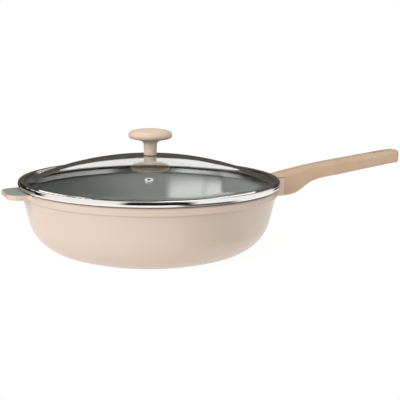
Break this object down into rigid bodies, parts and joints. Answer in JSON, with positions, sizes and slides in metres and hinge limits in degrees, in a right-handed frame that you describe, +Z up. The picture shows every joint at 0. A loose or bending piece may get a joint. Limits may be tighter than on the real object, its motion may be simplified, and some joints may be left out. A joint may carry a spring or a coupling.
{
  "type": "covered saute pan",
  "caption": "Deep covered saute pan with a cast helper tab, a straight moulded handle and a domed glass lid with a mushroom knob.",
  "frame": {"origin": "centre of the underside of the base plate, on the table", "axes": "+X along the handle, away from the bowl; +Z up, along the bowl's axis; +Y to the left of the handle seen from the bowl"},
  "size_m": [0.512, 0.302, 0.1403],
  "materials": {
    "cream_paint": "cream enamel on cast aluminium, satin gloss",
    "nonstick": "satin grey nonstick coating",
    "plate_steel": "brushed",
    "handle_plastic": "soft matt moulded resin",
    "fastener_steel": "plain",
    "lid_glass": "clear tempered",
    "rim_steel": "polished stainless steel",
    "brass": "plain",
    "silicone": "matt"
  },
  "bodies": {
    "pan": {"pan_body": "cream_paint", "nonstick_coating": "nonstick", "induction_plate": "plate_steel", "handle": "handle_plastic", "handle_screw": "fastener_steel", "handle_lock_washer": "fastener_steel"},
    "lid": {"lid_glass": "lid_glass", "lid_rim": "rim_steel", "vent_eyelet": "rim_steel", "knob": "handle_plastic", "knob_insert": "brass", "knob_gasket": "silicone", "knob_cup": "handle_plastic", "knob_washer": "silicone", "knob_screw": "fastener_steel"}
  },
  "joints": [
    {"name": "lid_lift", "type": "slide", "parent": "pan", "child": "lid", "axis": [0, 0, 1], "range_m": [0, 0.15]}
  ]
}
